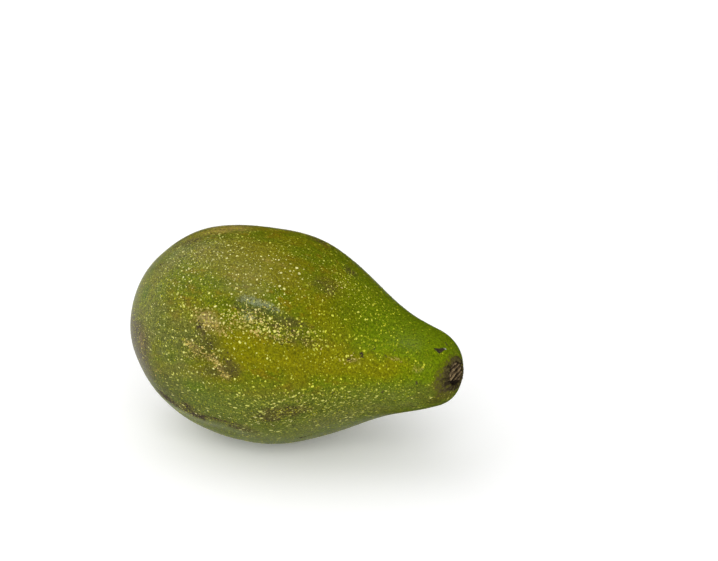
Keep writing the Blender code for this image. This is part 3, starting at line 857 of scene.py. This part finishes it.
# One layer of dots: places, then the share kept, size, length and tone of each, from the marks
def dotLayer(name, layer):
    rule, radius, share, rim = dotRules, layer["radius"], layer["share"], layer["rim"]
    draw = np.random.default_rng(layer["seed"])
    slant, angle = scatterPlaces(layer["spacing"], rule["loose"], draw)
    points = skinAt(slant, angle)
    cork = corkField(slant, angle, points)
    keepShare = share + (1.0 - share) * blots("dense", slant, angle)
    keepShare = keepShare - rule["sparse"] * share * blots("sparse", slant, angle)
    keepShare = keepShare * (1.0 + rule["uneven"] * softNoise(points, rule["unevenSize"], 41))
    keepShare = keepShare * (1.0 - rule["corkThin"] * cork)
    thin = ease((ringAt(slant)[0] - rule["thinFrom"]) / rule["thinRun"]) * (np.sin(angle) > rule["thinSide"])
    keepShare = keepShare * (1.0 - layer["neckThin"] * thin)
    keep = (draw.random(len(slant)) < keepShare) & (points[:, 2] > rule["floorClear"])
    slant, angle, cork = slant[keep], angle[keep], cork[keep]
    count = len(slant)
    large = np.clip(blots("large", slant, angle), 0.0, 1.0)
    station = ringAt(slant)[0] * 1000.0
    under = ease((rule["under"][0] - np.sin(angle)) / rule["under"][1])
    end = ease((rule["end"][0] - station) / rule["end"][1])
    neck = ease((station - rule["neck"][0]) / rule["neck"][1])
    size = radius * np.exp(rule["spread"] * draw.normal(size=count))
    size = size * (1.0 + rule["larger"] * large - rule["endSmaller"] * end) * (1.0 - rule["neckSmaller"] * neck)
    most = rule["most"] - rule["neckMost"] * neck - rule["endMost"] * end
    size = np.clip(size, rule["least"] * radius, most * radius)
    stretch = 1.0 + rule["long"] * draw.random(count)
    stretch = stretch + (rule["underLong"] * draw.random(count) + rule["underLeast"]) * under
    stretch = stretch + rule["endLong"] * end * draw.random(count)
    turn = draw.normal(size=count) * (rule["turn"] - rule["underTurn"] * under)
    height = rule["height"] * np.clip(size / rule["fullHeight"], *rule["heightRange"])
    piece = domeMesh(name, slant, angle, size, stretch, turn, height, draw, rim)
    warmth = np.clip(rule["warmTan"] * blots("tan", slant, angle) + rule["warmCork"] * cork, 0.0, 1.0)
    warmth = warmth + rule["warmLarge"] * large * draw.random(count)
    shade = rule["shade"] + rule["shadeSpread"] * draw.random(count) ** rule["shadePower"]
    shade = shade + rule["neckShade"] * neck + rule["underShade"] * under + rule["largeShade"] * large
    # dots in the dents darken with the painted dent shade
    shade = shade + rule["dotsPaintedDentShade"] * np.clip(blots("paintedDentShade", slant, angle), 0.0, 1.0)
    # whiter where the white marks lie, partly painted glints
    whiteness = blots("white", slant, angle) * (rule["whiteLeast"] + rule["whiteSpread"] * draw.random(count))
    # on the underside the dots whiten as a painted reflection of the floor
    whiteness = whiteness + rule["whiteAny"] * draw.random(count) ** 2 * (1.0 - neck) + rule["underPaintedReflection"] * under
    finishDomes(piece, rim, np.clip(whiteness, 0.0, 1.0), np.clip(warmth, 0.0, 1.0),
                np.clip(shade, 0.0, rule["shadeMost"]), layer["look"])


dotLayer("dots", dots)
dotLayer("fine_dots", fineDots)

# Corky flecks: (station, angle, half length, half width, number, size) in millimetres and degrees
flecks = {
    "dark": ((45.9, 24, 0.9, 1.1, 16, 0.42), (48.1, 20.7, 0.8, 1.4, 9, 0.28), (52, 17.3, 0.9, 0.8, 12, 0.36),
        (50.5, 19.5, 1.4, 1.4, 8, 0.22), (60.5, 10, 2, 2.4, 14, 0.3), (63.6, 6, 2.4, 2.4, 12, 0.28),
        (28, 333, 2.4, 1.2, 34, 0.6), (32, 330.5, 2.6, 1.3, 44, 0.62), (36.1, 329, 2.4, 0.9, 22, 0.46),
        (41, 335.3, 1.4, 1.4, 20, 0.46), (45.5, 329, 2.6, 1.4, 40, 0.6), (53, 331.3, 2.8, 0.4, 20, 0.4),
        (58.4, 331.3, 2.8, 0.35, 18, 0.34), (63, 330.5, 2.4, 0.35, 14, 0.32),
        (65, 327.3, 3.4, 0.9, 30, 0.42), (71, 325.3, 3.6, 0.4, 18, 0.34), (76.6, 343, 3, 1.8, 18, 0.3),
        (82, 341, 4, 2.6, 30, 0.3), (88, 344, 4, 2.2, 24, 0.3), (78.2, 337.3, 3, 0.9, 16, 0.34),
        (86, 338, 4, 1.3, 16, 0.3), (88.8, 310, 2.2, 0.6, 28, 0.5), (112.2, 21.3, 1.2, 0.7, 8, 0.28),
        (116.8, 28, 1.1, 0.7, 13, 0.36), (126.9, 30.7, 0.6, 0.5, 6, 0.26), (129.9, 38, 0.2, 0.9, 8, 0.2),
        (127.5, 18, 0.5, 0.4, 4, 0.24), (121.9, 36, 0.3, 0.3, 3, 0.26), (125.1, 356.7, 0.9, 0.4, 5, 0.24),
        (125.7, 346, 0.6, 0.7, 8, 0.3), (140.6, 357.3, 0.5, 0.9, 8, 0.26), (135.6, 314, 1, 0.4, 10, 0.32),
        (83.7, 25.3, 0.6, 0.4, 5, 0.26), (105.8, 352.7, 0.7, 0.3, 5, 0.24), (146.1, 94, 0.6, 0.5, 8, 0.28),
        (97.1, 97.3, 1.8, 1.3, 14, 0.3), (76.6, 108, 2.4, 0.8, 12, 0.28), (25.3, 79.3, 1.8, 1, 12, 0.3),
        (19.7, 76.7, 1.3, 1, 12, 0.3), (16.5, 61.3, 0.9, 0.9, 8, 0.28), (13.9, 58, 0.9, 0.9, 8, 0.28),
        (60, 200, 5, 1.4, 22, 0.34), (96, 240, 4, 1, 18, 0.34), (118, 160, 2, 0.8, 10, 0.3),
        (30, 150, 2.6, 1.6, 16, 0.3), (72, 262, 6, 0.8, 18, 0.32), (47, 128, 1.6, 1.2, 9, 0.28),
        (66, 36.5, 4, 1.6, 12, 0.22), (76, 36, 5, 1.6, 14, 0.22), (86, 33, 5, 1.6, 12, 0.2),
        (78, 27, 6, 0.8, 10, 0.2)),
    "cream": ((60, 34, 4, 3, 18, 0.36), (66, 35, 4.5, 3.6, 30, 0.38), (73, 33, 5, 3.6, 34, 0.4),
        (81, 31.5, 5, 3.2, 28, 0.38), (90, 32, 5, 2.6, 18, 0.36), (98, 31.5, 5, 2.2, 14, 0.34),
        (50, 28, 4.5, 4, 22, 0.4), (46, 14, 5, 3, 12, 0.34), (56, 8, 5, 2.4, 12, 0.34),
        (112, 22, 5, 2, 10, 0.3), (98, 79, 4, 3, 18, 0.32), (88, 352, 12, 3, 26, 0.28)),
    "tan": ((42.5, 14.7, 1.5, 1.4, 11, 0.37), (45.3, 12, 1.9, 1.4, 13, 0.34), (50.9, 10, 1.5, 1.1, 10, 0.31),
        (54.1, 10, 1.5, 1.4, 13, 0.34), (56.8, 8, 2.5, 1.1, 15, 0.37), (58.9, 4, 1.9, 0.9, 10, 0.31),
        (60.5, 2, 1.9, 1, 13, 0.37), (56.2, 24.7, 2.8, 1.6, 14, 0.43), (48.7, 26.7, 1.9, 1.8, 11, 0.37),
        (53, 28.7, 2.2, 1.6, 11, 0.34), (62, 31, 2.5, 2, 11, 0.34), (70, 28, 2.5, 1.2, 10, 0.41),
        (79, 27.5, 2.5, 1.1, 11, 0.37), (84, 29, 2.5, 1.5, 8, 0.33), (66.5, 35.5, 2, 1.5, 13, 0.31),
        (112.6, 20, 1.8, 0.6, 8, 0.27), (131.2, 29, 1.8, 0.5, 8, 0.27), (18, 6, 1.5, 5, 20, 0.25),
        (28, 350, 2.5, 1.5, 11, 0.27), (60, 202, 3.8, 2.5, 17, 0.3)),
}


# Looks of the three kinds: piece name, height of the domes in metres, seed, and what the material takes
fleckLooks = {
    "dark": ("dark_flecks", 0.00006, 8, ("fleck_dark", (0.020, 0.014, 0.009), (0.020, 0.014, 0.009),
                                         (0.040, 0.026, 0.014), (0.085, 0.062, 0.022), 0.08, 0.6)),
    "tan": ("tan_flecks", 0.00009, 9, ("fleck_tan", (0.49, 0.38, 0.06), (0.54, 0.44, 0.13),
                                       (0.42, 0.28, 0.07), (0.20, 0.17, 0.02), 0.1, 0.6)),
    "cream": ("cream_flecks", 0.00007, 10, ("fleck_cream", (0.62, 0.56, 0.10), (0.68, 0.62, 0.21),
                                            (0.56, 0.42, 0.15), (0.30, 0.27, 0.02), 0.1, 0.3)),
}
fleckRules = {
    "rim": 7, "scatter": 0.75, "edgeSlant": 0.02, "endCosine": 0.9995, "spread": 0.35,
    "long": 1.4, "longRange": (0.2, 3.0), "turn": 0.5, "shade": 0.8, "shadePower": 1.6,
}


# Each cluster is a number of small domes spread about its middle, longer along the fruit
def fleckPiece(kind):
    name, height, seed, look = fleckLooks[kind]
    rule, draw = fleckRules, np.random.default_rng(seed)
    at, side, halfLength, halfWidth, number, size = np.array(flecks[kind], float).T
    of = np.repeat(np.arange(len(at)), number.astype(int))
    count = len(of)
    station = (at[of] + halfLength[of] * rule["scatter"] * draw.normal(size=count)) / 1000.0
    cosine = np.clip(1.0 - 2.0 * station / body["length"], math.cos(lastSlant - rule["edgeSlant"]), rule["endCosine"])
    slant = np.arccos(cosine)
    radius = ringAt(slant)[1]
    angle = np.radians(side[of]) + halfWidth[of] * rule["scatter"] * draw.normal(size=count) / (radius * 1000.0)
    size = size[of] * np.exp(rule["spread"] * draw.normal(size=count)) / 1000.0
    longer = np.clip(halfLength / halfWidth, *rule["longRange"])[of] / 2.0
    stretch = 1.0 + rule["long"] * draw.random(count) * longer
    turn = rule["turn"] * draw.normal(size=count)
    piece = domeMesh(name, slant, angle, size, stretch, turn, np.full(count, height), draw, rule["rim"])
    white, warm = draw.random(count), draw.random(count)
    finishDomes(piece, rule["rim"], white, warm, rule["shade"] * draw.random(count) ** rule["shadePower"], look)


for kind in fleckLooks:
    fleckPiece(kind)

# Broken end of the stalk in the pit: ragged round, with woody ridges across it and dark gaps between, painted darker
# down in the gaps as shade and paler on the ridge tops as light
stalk = {
    "around": 160, "rings": 40, "gap": 0.00010, "top": 0.0001, "floorGap": 0.0004,
    "pitch": 0.0021, "finePitch": 0.31, "ridge": 0.0012, "turn": -18,
    "wall": 0.7, "waves": ((7, 2.0, 0.00010), (16, 0.0, 0.00008)),  # how its side follows the pit; count, phase, size
    "bend": (2.2, 0.0024, 0.9, 0.0010), "crackSize": 0.0012,  # strength and size of two noises
    "shares": (0.28, 0.14, 0.36, 0.06),  # of the ridges, fine ridges and cracks in the height, and its middle
    "edgeRun": 0.0005, "edgeDrop": 0.00005, "notch": 0.0007, "notchRound": 3.0, "notchShare": 1.6,
    "brokenSide": 285, "brokenFrom": 0.0026, "brokenRun": 0.0008, "brokenDrop": 0.0009,
    "sides": ((0.0, 0.0006), (0.0004, 0.0001), (0.0009, 0.0)),  # height over the foot and inset of the side rings
    # colours by height: near-black painted shade in the gaps, brown wood between, and a tan painted light on the
    # ridge tops
    "light": (0.270, 0.195, 0.098), "wood": (0.078, 0.053, 0.025), "dark": (0.016, 0.011, 0.006),
    "roughness": 0.75, "specular": 0.12, "bump": 0.5, "bumpDepth": 0.0002,
}


# Height over the ragged top: cosine ridges with their phase bent by noise, cracked along their length, eased
# down a little at the edge and broken away at the lower side
def stalkPiece():
    angle = roundAngles(stalk["around"])[None, :]
    ragged = sum(size * np.sin(count * angle + phase) for count, phase, size in stalk["waves"])
    wall = body["pitRadius"] - stalk["gap"] + stalk["wall"] * collarWave(angle) + ragged
    bottom = crestStation - body["pitDepth"] + stalk["floorGap"]
    top = crestStation - stalk["top"] - stalk["ridge"] * 0.5
    share = 1.0 - np.arange(stalk["rings"])[:, None] / stalk["rings"]
    radius = wall * share
    turn = math.radians(stalk["turn"])
    across, along = radius * np.sin(angle - turn), radius * np.cos(angle - turn)
    spot = np.stack((across, along * 0.5, 0.0 * across), -1)
    wide, wideSize, small, smallSize = stalk["bend"]
    bend = wide * softNoise(spot, wideSize, 53) + small * softNoise(spot, smallSize, 54)
    wave = np.cos(2.0 * np.pi * across / stalk["pitch"] + bend)
    fine = np.cos(2.0 * np.pi * across / (stalk["finePitch"] * stalk["pitch"]) + 2.0 * bend)
    crack = softNoise(np.stack((across * 0.5, along, 0.0 * across), -1), stalk["crackSize"], 51)
    waveShare, fineShare, crackShare, middle = stalk["shares"]
    height = stalk["ridge"] * (waveShare * wave + fineShare * fine + crackShare * crack + middle)
    edge = ease((wall - radius) / stalk["edgeRun"])
    circle = np.stack((stalk["notchRound"] * np.cos(angle), stalk["notchRound"] * np.sin(angle), 0.0 * angle), -1)
    notch = ease(softNoise(circle, 1.0, 55) * stalk["notchShare"])
    lower = np.cos(angle - math.radians(stalk["brokenSide"])) * radius
    broken = ease((lower - stalk["brokenFrom"]) / stalk["brokenRun"])
    edgeDrop = (1.0 - edge) * (stalk["edgeDrop"] + stalk["notch"] * notch)
    height = np.minimum(edge * height - edgeDrop - stalk["brokenDrop"] * broken, 0.5 * stalk["ridge"])
    topRings = aroundLine(top + height, radius, angle)
    sideRows = np.array(stalk["sides"])
    sides = aroundLine(sideRows[:, :1] + bottom, wall - sideRows[:, 1:], angle)
    rings = rest(np.concatenate((sides, topRings[:-1])))
    poles = rest(aroundLine(np.array((bottom, top + height[-1].mean())), np.zeros(2), np.zeros(2)))
    piece = meshFromRings("stalk", rings, poles[0], poles[1])
    value = np.concatenate((np.zeros(sides.shape[:2]), (height / stalk["ridge"] + 0.5)[:-1]))
    pointValue(piece, "raised", np.r_[value.ravel(), 0.0, 0.5])
    made, tree, shader, where = newMaterial("stalk_fibre")
    raised = attributeOf(tree, "raised")
    fibre = noiseOf(tree, where, 2600.0, 4.0, 0.7)
    level = plusOf(tree, raised, rangeOf(tree, fibre, 0.3, 0.7, -0.22, 0.22))
    # darker lower down and paler higher up: painted shade in the gaps, painted light on the ridge tops
    color = mixOf(tree, rangeOf(tree, level, 0.25, 0.62), stalk["dark"], stalk["wood"])
    color = mixOf(tree, rangeOf(tree, level, 0.64, 0.98), color, stalk["light"])
    setShader(tree, shader, color, stalk["roughness"], stalk["specular"])
    addBump(tree, shader, fibre, stalk["bump"], stalk["bumpDepth"])
    piece.data.materials.append(made)
    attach(piece, "root")
    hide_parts("stalk_end")
    print("stalk:", len(piece.data.polygons), "faces")


stalkPiece()

# A nick on the neck: a dark three-cornered scab whose far tip curls up pale. Corners are (station, angle)
nick = {
    "corners": ((143.9, 60.5), (147.4, 80.5), (146.5, 61.5)), "steps": 14, "lift": 0.00005, "curl": 0.00045,
    "thick": 0.00008, "rim": 0.01, "rimSink": 0.00004, "curlFrom": 0.72, "tipFrom": 0.80, "tipRun": 0.12,
    # ragged edge: size in millimetres or degrees, and turns over the two sides
    "raggedAlong": (0.25, 6.0, 9.0), "raggedAcross": (1.3, 8.0, 5.0),
    "dark": (0.016, 0.012, 0.007), "light": (0.062, 0.045, 0.026), "tip": (0.50, 0.52, 0.40),
    "roughness": 0.6, "specular": 0.12,
}


# Points at every pair of steps inside the triangle of corners, lifted along the normal and most at the far tip
def nickPiece():
    steps = nick["steps"]
    i, j = np.meshgrid(np.arange(steps + 1), np.arange(steps + 1), indexing="ij")
    inside = (i + j) <= steps
    number = np.cumsum(inside.ravel()).reshape(inside.shape) - 1
    second, third = i[inside] / steps, j[inside] / steps
    corners = np.array(nick["corners"])
    at = (1.0 - second - third)[:, None] * corners[0] + second[:, None] * corners[1] + third[:, None] * corners[2]
    for k, (size, turnsSecond, turnsThird) in enumerate((nick["raggedAlong"], nick["raggedAcross"])):
        at[:, k] += size * np.sin(turnsSecond * second + turnsThird * third)
    slant = np.arccos(1.0 - 2.0 * at[:, 0] / 1000.0 / body["length"])
    place, normal, along, across = skinFrame(slant, np.radians(at[:, 1]))
    rim = np.minimum(np.minimum(second, third), 1.0 - second - third)
    lift = np.where(rim < nick["rim"], -nick["rimSink"], nick["lift"])
    lift = lift + nick["curl"] * ease((second - nick["curlFrom"]) / (1.0 - nick["curlFrom"]))
    low = (i + j) < steps
    high = (i + j) < steps - 1
    a, b, c = number[:-1, :-1], number[1:, :-1], number[:-1, 1:]
    faces = np.stack((a, b, c), -1)[low[:-1, :-1]]
    more = np.stack((b, number[1:, 1:], c), -1)[high[:-1, :-1]]
    faces = np.vstack((faces, more))
    points = place + lift[:, None] * normal
    facing = np.cross(points[faces[0, 1]] - points[faces[0, 0]], points[faces[0, 2]] - points[faces[0, 0]])
    if facing @ normal[faces[0, 0]] < 0.0:
        faces = faces[:, ::-1]
    piece = meshFromFaces("nick", points, (faces,))
    pointValue(piece, "tip", ease((second - nick["tipFrom"]) / nick["tipRun"]))
    made, tree, shader, where = newMaterial("nick_scab")
    fibre = noiseOf(tree, where, 1800.0, 3.0)
    color = mixOf(tree, rangeOf(tree, fibre, 0.35, 0.65), nick["dark"], nick["light"])
    color = mixOf(tree, attributeOf(tree, "tip"), color, nick["tip"])
    setShader(tree, shader, color, nick["roughness"], nick["specular"])
    piece.data.materials.append(made)
    shell = piece.modifiers.new("thickness", "SOLIDIFY")
    shell.thickness = nick["thick"]
    shell.offset = -1.0
    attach(piece, "root")
    print("nick:", len(faces), "faces")


nickPiece()

# Floor: a plain sheet in two parts. The fruit mirrors only the disc, the sheet round it lies out of its sight
floorLook = {
    "reach": 1.24, "paint": (0.95, 0.95, 0.95), "discRadius": 0.46, "discAt": (-0.42, 0.06), "low": -0.0002,
    "sides": 96, "roughness": 1.0, "specular": 0.0,
    # it glows a little, more towards its edge
    "glow": (1.0, 1.0, 1.0, 1.0), "glowNear": 0.14, "glowFar": 0.85, "glowFrom": 0.40, "glowTo": 1.15,
}
floorPaint, floorTree, floorShader, floorWhere = newMaterial("floor_paint")
setShader(floorTree, floorShader, floorLook["paint"], floorLook["roughness"], floorLook["specular"])
floorAway = addNode(floorTree, "ShaderNodeVectorMath", operation="LENGTH")
floorTree.links.new(floorWhere, floorAway.inputs[0])
floorShader.inputs["Emission Color"].default_value = floorLook["glow"]
floorTree.links.new(rangeOf(floorTree, floorAway.outputs["Value"], floorLook["glowFrom"], floorLook["glowTo"],
                            floorLook["glowNear"], floorLook["glowFar"]), floorShader.inputs["Emission Strength"])
sides = floorLook["sides"]
turns = roundAngles(sides)
circle = np.stack((np.cos(turns), np.sin(turns), 0.0 * turns), -1)
discPoints = floorLook["discRadius"] * circle + np.array((*floorLook["discAt"], floorLook["low"]))
outerPoints = floorLook["reach"] * circle + np.array((0.0, 0.0, floorLook["low"]))
place = np.arange(sides)
following = (place + 1) % sides
floorDisc = meshFromFaces("floor_disc", discPoints, (place[None, :],))
floorSheet = meshFromFaces("floor", np.vstack((discPoints, outerPoints)),
                           (np.stack((place, sides + place, sides + following, following), -1),))
floorSheet.visible_glossy = False
for sheet in (floorSheet, floorDisc):
    sheet.data.materials.append(floorPaint)

# The camera stands at an azimuth and elevation from a point in the fruit, and aims a little beside it
view = {
    "lens": 85.0, "azimuth": 26.0, "elevation": 24.3, "distance": 0.7292,
    "target": (0.0, 0.0, 0.046), "aimRight": 0.0262, "aimUp": 0.0258, "nearest": 0.01,
}


# Direction from the fruit at an azimuth (0 is the front, 90 its right) and an elevation, in degrees
def directionAt(azimuth, elevation):
    a, e = math.radians(azimuth), math.radians(elevation)
    return np.array((math.sin(a) * math.cos(e), -math.cos(a) * math.cos(e), math.sin(e)))


back = directionAt(view["azimuth"], view["elevation"])
right = directionAt(view["azimuth"] + 90.0, 0.0)
up = np.cross(back, right)
stand = np.array(view["target"]) + view["distance"] * back
aim = np.array(view["target"]) + view["aimRight"] * right + view["aimUp"] * up
cameraData = bpy.data.cameras.new("camera")
cameraData.lens = view["lens"]
cameraData.clip_start = view["nearest"]
camera = bpy.data.objects.new("camera", cameraData)
bpy.context.scene.collection.objects.link(camera)
camera.location = stand
camera.rotation_euler = Vector(aim - stand).to_track_quat("-Z", "Y").to_euler()
bpy.context.scene.camera = camera

# Soft lights round a point in the fruit: three that light it without gloss, and two that show only as gloss
lampCentre = (0.0, 0.0, 0.045)
lamps = {
    "left": {"azimuth": -78, "elevation": 38, "away": 1.0, "size": 2.2, "power": 8.4, "gloss": False},
    "sheen": {"azimuth": -84, "elevation": 36, "away": 1.0, "size": 1.7, "power": 13.0, "gloss": True},
    "front": {"azimuth": 30, "elevation": 32, "away": 1.4, "size": 1.2, "power": 10.1, "gloss": False},
    "overhead": {"azimuth": 170, "elevation": 80, "away": 1.3, "size": 1.2, "power": 1.2, "gloss": False},
    "spark": {"azimuth": -55, "elevation": 76, "away": 1.2, "size": 0.10, "power": 2.0, "gloss": True},
}
for name, lamp in lamps.items():
    light = bpy.data.lights.new(name, "AREA")
    light.shape = "DISK"
    light.size = lamp["size"]
    light.energy = lamp["power"]
    holder = bpy.data.objects.new(name, light)
    bpy.context.scene.collection.objects.link(holder)
    away = Vector(directionAt(lamp["azimuth"], lamp["elevation"]))
    holder.location = Vector(lampCentre) + lamp["away"] * away
    holder.rotation_euler = away.to_track_quat("Z", "Y").to_euler()
    holder.visible_glossy = lamp["gloss"]
    holder.visible_diffuse = not lamp["gloss"]
    holder.visible_camera = False

# The surround looks white behind the floor, and lights the fruit at its own strength
surround = {"paint": (1.0, 1.0, 1.0, 1.0), "light": 0.53, "seen": 1.0}
world = bpy.data.worlds.new("studio")
world.use_nodes = True
bpy.context.scene.world = world
background = world.node_tree.nodes["Background"]
background.inputs[0].default_value = surround["paint"]
seen = addNode(world.node_tree, "ShaderNodeLightPath").outputs["Is Camera Ray"]
strength = rangeOf(world.node_tree, seen, 0.0, 1.0, surround["light"], surround["seen"])
world.node_tree.links.new(strength, background.inputs[1])
world.cycles_visibility.glossy = False
bpy.context.scene.view_settings.view_transform = "Standard"
print("camera and lights set")
